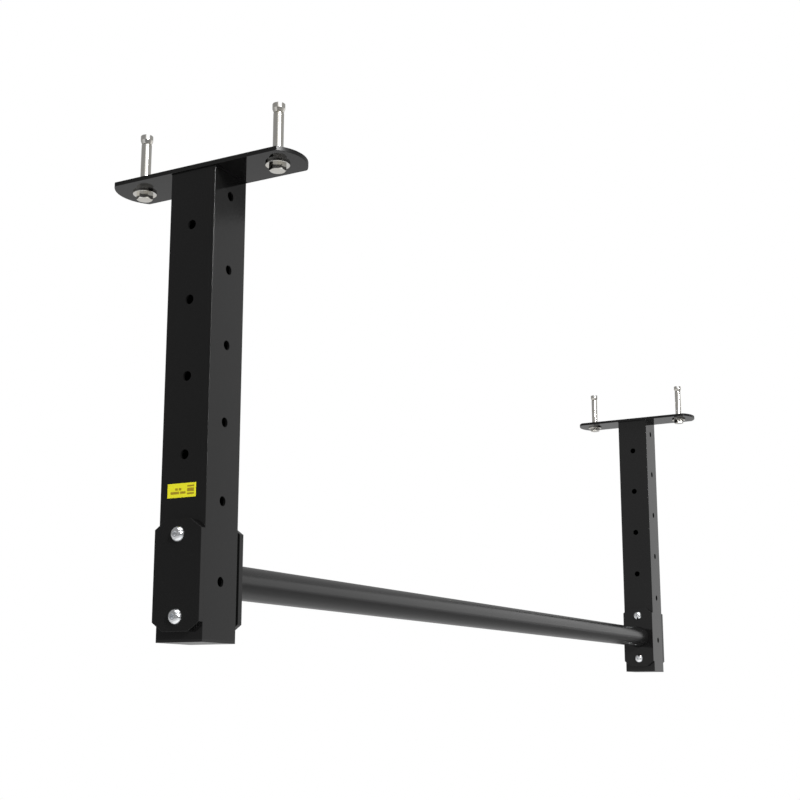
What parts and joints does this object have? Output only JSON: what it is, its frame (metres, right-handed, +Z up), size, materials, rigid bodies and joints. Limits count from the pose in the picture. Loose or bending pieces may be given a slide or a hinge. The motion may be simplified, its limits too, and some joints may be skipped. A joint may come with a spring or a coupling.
{
  "type": "ceiling pull-up bar",
  "caption": "Ceiling-mounted pull-up bar: two drilled square uprights on anchored plates carry a straight round bar, held by end plates and through bolts so its height can be changed.",
  "frame": {"origin": "centre of the four ceiling anchors, on the ceiling face of the two plates", "axes": "+X along the bar from the left upright to the right one, -Y the front, +Z up into the ceiling"},
  "size_m": [1.3744, 0.207, 0.4945],
  "materials": {
    "frame_paint": "glossy black powder coat on steel",
    "bar_paint": "semi-gloss black powder coat on steel",
    "cap_plastic": "moulded black plastic, satin",
    "label": "yellow printed film",
    "bright_zinc": "bright zinc plate",
    "yellow_zinc": "pale yellow zinc plate",
    "nylon": "natural nylon"
  },
  "bodies": {
    "frame": {"bar_tube": "bar_paint", "rating_label": "label", "left_upright": "frame_paint", "left_ceiling_plate": "frame_paint", "left_plate_weld": "frame_paint", "left_end_cap": "cap_plastic", "left_bar_end_plate": "frame_paint", "left_bar_weld": "bar_paint", "left_clamp_plate": "frame_paint", "right_upright": "frame_paint", "right_ceiling_plate": "frame_paint", "right_plate_weld": "frame_paint", "right_end_cap": "cap_plastic", "right_bar_end_plate": "frame_paint", "right_bar_weld": "bar_paint", "right_clamp_plate": "frame_paint", "anchor_washers": "yellow_zinc", "anchor_sleeves": "yellow_zinc", "clamp_washers": "bright_zinc"},
    "left_upper_clamp_bolt": {"left_upper_clamp_bolt": "bright_zinc"},
    "left_upper_clamp_nut": {"left_upper_clamp_nut": "bright_zinc", "left_upper_nylon_ring": "nylon"},
    "left_lower_clamp_bolt": {"left_lower_clamp_bolt": "bright_zinc"},
    "left_lower_clamp_nut": {"left_lower_clamp_nut": "bright_zinc", "left_lower_nylon_ring": "nylon"},
    "right_upper_clamp_bolt": {"right_upper_clamp_bolt": "bright_zinc"},
    "right_upper_clamp_nut": {"right_upper_clamp_nut": "bright_zinc", "right_upper_nylon_ring": "nylon"},
    "right_lower_clamp_bolt": {"right_lower_clamp_bolt": "bright_zinc"},
    "right_lower_clamp_nut": {"right_lower_clamp_nut": "bright_zinc", "right_lower_nylon_ring": "nylon"},
    "left_front_anchor_bolt": {"left_front_anchor_bolt": "yellow_zinc"},
    "left_front_anchor_cone": {"left_front_anchor_cone": "yellow_zinc"},
    "left_rear_anchor_bolt": {"left_rear_anchor_bolt": "yellow_zinc"},
    "left_rear_anchor_cone": {"left_rear_anchor_cone": "yellow_zinc"},
    "right_front_anchor_bolt": {"right_front_anchor_bolt": "yellow_zinc"},
    "right_front_anchor_cone": {"right_front_anchor_cone": "yellow_zinc"},
    "right_rear_anchor_bolt": {"right_rear_anchor_bolt": "yellow_zinc"},
    "right_rear_anchor_cone": {"right_rear_anchor_cone": "yellow_zinc"}
  },
  "joints": [
    {"name": "left_upper_clamp_bolt_turn", "type": "hinge", "parent": "frame", "child": "left_upper_clamp_bolt", "pos_m": [-0.676, 0, -0.346], "axis": [-1, 0, 0], "range_deg": [0, 720]},
    {"name": "left_upper_clamp_nut_travel", "type": "slide", "parent": "frame", "child": "left_upper_clamp_nut", "axis": [1, 0, 0], "range_m": [0, 0.0026]},
    {"name": "left_lower_clamp_bolt_turn", "type": "hinge", "parent": "frame", "child": "left_lower_clamp_bolt", "pos_m": [-0.676, 0, -0.418], "axis": [-1, 0, 0], "range_deg": [0, 720]},
    {"name": "left_lower_clamp_nut_travel", "type": "slide", "parent": "frame", "child": "left_lower_clamp_nut", "axis": [1, 0, 0], "range_m": [0, 0.0026]},
    {"name": "right_upper_clamp_bolt_turn", "type": "hinge", "parent": "frame", "child": "right_upper_clamp_bolt", "pos_m": [0.614, 0, -0.346], "axis": [-1, 0, 0], "range_deg": [0, 720]},
    {"name": "right_upper_clamp_nut_travel", "type": "slide", "parent": "frame", "child": "right_upper_clamp_nut", "axis": [1, 0, 0], "range_m": [0, 0.0026]},
    {"name": "right_lower_clamp_bolt_turn", "type": "hinge", "parent": "frame", "child": "right_lower_clamp_bolt", "pos_m": [0.614, 0, -0.418], "axis": [-1, 0, 0], "range_deg": [0, 720]},
    {"name": "right_lower_clamp_nut_travel", "type": "slide", "parent": "frame", "child": "right_lower_clamp_nut", "axis": [1, 0, 0], "range_m": [0, 0.0026]},
    {"name": "left_front_anchor_bolt_turn", "type": "hinge", "parent": "frame", "child": "left_front_anchor_bolt", "pos_m": [-0.645, -0.077, -0.006], "axis": [0, 0, 1], "range_deg": [-720, 252]},
    {"name": "left_front_anchor_cone_travel", "type": "slide", "parent": "frame", "child": "left_front_anchor_cone", "axis": [0, 0, 1], "range_m": [-0.0009, 0.0026]},
    {"name": "left_rear_anchor_bolt_turn", "type": "hinge", "parent": "frame", "child": "left_rear_anchor_bolt", "pos_m": [-0.645, 0.077, -0.006], "axis": [0, 0, 1], "range_deg": [-720, 252]},
    {"name": "left_rear_anchor_cone_travel", "type": "slide", "parent": "frame", "child": "left_rear_anchor_cone", "axis": [0, 0, 1], "range_m": [-0.0009, 0.0026]},
    {"name": "right_front_anchor_bolt_turn", "type": "hinge", "parent": "frame", "child": "right_front_anchor_bolt", "pos_m": [0.645, -0.077, -0.006], "axis": [0, 0, 1], "range_deg": [-720, 252]},
    {"name": "right_front_anchor_cone_travel", "type": "slide", "parent": "frame", "child": "right_front_anchor_cone", "axis": [0, 0, 1], "range_m": [-0.0009, 0.0026]},
    {"name": "right_rear_anchor_bolt_turn", "type": "hinge", "parent": "frame", "child": "right_rear_anchor_bolt", "pos_m": [0.645, 0.077, -0.006], "axis": [0, 0, 1], "range_deg": [-720, 252]},
    {"name": "right_rear_anchor_cone_travel", "type": "slide", "parent": "frame", "child": "right_rear_anchor_cone", "axis": [0, 0, 1], "range_m": [-0.0009, 0.0026]}
  ],
  "couplings": [
    {"joint": "left_upper_clamp_nut_travel", "follows": "left_upper_clamp_bolt_turn", "m_per_rad": 0.00019894},
    {"joint": "left_lower_clamp_nut_travel", "follows": "left_lower_clamp_bolt_turn", "m_per_rad": 0.00019894},
    {"joint": "right_upper_clamp_nut_travel", "follows": "right_upper_clamp_bolt_turn", "m_per_rad": 0.00019894},
    {"joint": "right_lower_clamp_nut_travel", "follows": "right_lower_clamp_bolt_turn", "m_per_rad": 0.00019894},
    {"joint": "left_front_anchor_cone_travel", "follows": "left_front_anchor_bolt_turn", "m_per_rad": -0.00019894},
    {"joint": "left_rear_anchor_cone_travel", "follows": "left_rear_anchor_bolt_turn", "m_per_rad": -0.00019894},
    {"joint": "right_front_anchor_cone_travel", "follows": "right_front_anchor_bolt_turn", "m_per_rad": -0.00019894},
    {"joint": "right_rear_anchor_cone_travel", "follows": "right_rear_anchor_bolt_turn", "m_per_rad": -0.00019894}
  ]
}
